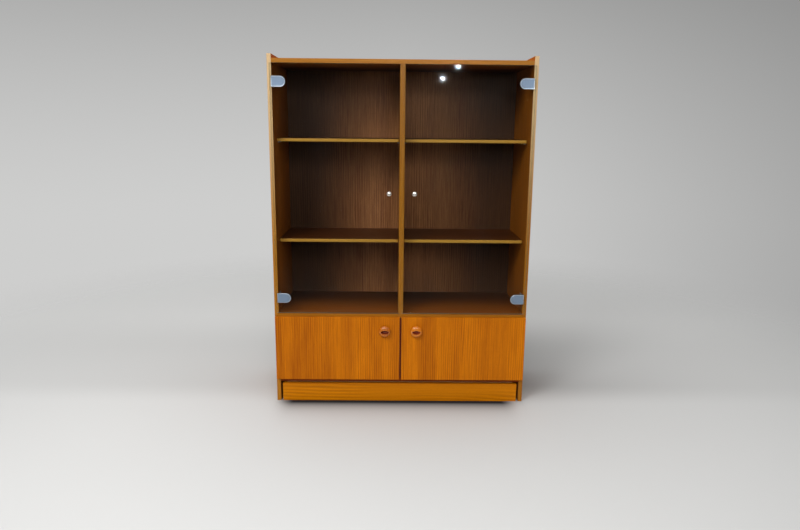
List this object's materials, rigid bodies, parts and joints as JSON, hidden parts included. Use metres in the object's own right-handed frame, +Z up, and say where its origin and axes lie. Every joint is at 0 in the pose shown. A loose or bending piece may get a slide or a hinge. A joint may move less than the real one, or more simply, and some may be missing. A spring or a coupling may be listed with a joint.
{
  "type": "bookcase with adjustable shelves",
  "caption": "Teak-veneered display bookcase: side panels past the top board, adjustable shelves behind clear glass doors, cupboard doors with round pulls and a plinth below.",
  "frame": {"origin": "middle of the bounding box at floor level", "axes": "+Z up, front towards -Y, +X to the viewer's right"},
  "size_m": [1, 0.4, 1.356],
  "materials": {
    "teak_veneer": "satin oiled veneer, grain along each board",
    "door_teak": "satin oiled teak veneer",
    "pull_teak": "turned solid teak, oiled",
    "shelf_board": "satin veneer",
    "shelf_edge": "pale solid lipping, rounded",
    "back_veneer": "dark veneer, vertical grain",
    "softwood": "planed, unfinished",
    "clear_glass": "clear float glass, polished edges",
    "chrome": "polished plate",
    "steel": "zinc-plated",
    "zinc": "die-cast",
    "brown_plastic": "moulded"
  },
  "bodies": {
    "carcass": {"top_board": "teak_veneer", "bottom_board": "teak_veneer", "centre_divider": "teak_veneer", "plinth_board": "door_teak", "plinth_batten": "softwood", "back_panel": "back_veneer", "side_left": "teak_veneer", "fixed_shelf_left": "teak_veneer", "door_catch_left": "brown_plastic", "shelf_wire_upper_left_outer": "steel", "shelf_wire_upper_left_inner": "steel", "shelf_wire_lower_left_outer": "steel", "shelf_wire_lower_left_inner": "steel", "glass_hinge_arm_low_left": "steel", "door_hinge_arm_low_left": "steel", "glass_hinge_arm_high_left": "steel", "door_hinge_arm_high_left": "steel", "side_right": "teak_veneer", "fixed_shelf_right": "teak_veneer", "door_catch_right": "brown_plastic", "shelf_wire_upper_right_outer": "steel", "shelf_wire_upper_right_inner": "steel", "shelf_wire_lower_right_outer": "steel", "shelf_wire_lower_right_inner": "steel", "glass_hinge_arm_low_right": "steel", "door_hinge_arm_low_right": "steel", "glass_hinge_arm_high_right": "steel", "door_hinge_arm_high_right": "steel"},
    "upper_shelf_left": {"shelf_upper_left": "shelf_board", "shelf_lip_upper_left": "shelf_edge"},
    "lower_shelf_left": {"shelf_lower_left": "shelf_board", "shelf_lip_lower_left": "shelf_edge"},
    "glass_door_left": {"glass_pane_left": "clear_glass", "glass_knob_left": "chrome", "glass_hinge_cover_low_left": "chrome", "glass_hinge_cup_low_left": "zinc", "glass_hinge_cover_high_left": "chrome", "glass_hinge_cup_high_left": "zinc"},
    "cupboard_door_body_left": {"cupboard_door_left": "door_teak", "cupboard_pull_left": "pull_teak", "pull_screw_left": "steel", "catch_plate_left": "steel", "door_hinge_cup_low_left": "zinc", "door_hinge_cup_high_left": "zinc"},
    "upper_shelf_right": {"shelf_upper_right": "shelf_board", "shelf_lip_upper_right": "shelf_edge"},
    "lower_shelf_right": {"shelf_lower_right": "shelf_board", "shelf_lip_lower_right": "shelf_edge"},
    "glass_door_right": {"glass_pane_right": "clear_glass", "glass_knob_right": "chrome", "glass_hinge_cover_low_right": "chrome", "glass_hinge_cup_low_right": "zinc", "glass_hinge_cover_high_right": "chrome", "glass_hinge_cup_high_right": "zinc"},
    "cupboard_door_body_right": {"cupboard_door_right": "door_teak", "cupboard_pull_right": "pull_teak", "pull_screw_right": "steel", "catch_plate_right": "steel", "door_hinge_cup_low_right": "zinc", "door_hinge_cup_high_right": "zinc"}
  },
  "joints": [
    {"name": "glass_door_left_hinge", "type": "hinge", "parent": "carcass", "child": "glass_door_left", "pos_m": [-0.491, -0.1685, 0.8455], "axis": [0, 0, -1], "range_deg": [0, 100]},
    {"name": "cupboard_door_left_hinge", "type": "hinge", "parent": "carcass", "child": "cupboard_door_body_left", "pos_m": [-0.497, -0.18, 0.229], "axis": [0, 0, -1], "range_deg": [0, 105]},
    {"name": "glass_door_right_hinge", "type": "hinge", "parent": "carcass", "child": "glass_door_right", "pos_m": [0.491, -0.1685, 0.8455], "axis": [0, 0, 1], "range_deg": [0, 100]},
    {"name": "cupboard_door_right_hinge", "type": "hinge", "parent": "carcass", "child": "cupboard_door_body_right", "pos_m": [0.497, -0.18, 0.229], "axis": [0, 0, 1], "range_deg": [0, 105]},
    {"name": "upper_shelf_left_lift", "type": "slide", "parent": "carcass", "child": "upper_shelf_left", "axis": [0, 0, 1], "range_m": [0, 0.056]},
    {"name": "lower_shelf_left_lift", "type": "slide", "parent": "carcass", "child": "lower_shelf_left", "axis": [0, 0, 1], "range_m": [0, 0.056]},
    {"name": "upper_shelf_right_lift", "type": "slide", "parent": "carcass", "child": "upper_shelf_right", "axis": [0, 0, 1], "range_m": [0, 0.056]},
    {"name": "lower_shelf_right_lift", "type": "slide", "parent": "carcass", "child": "lower_shelf_right", "axis": [0, 0, 1], "range_m": [0, 0.056]}
  ]
}
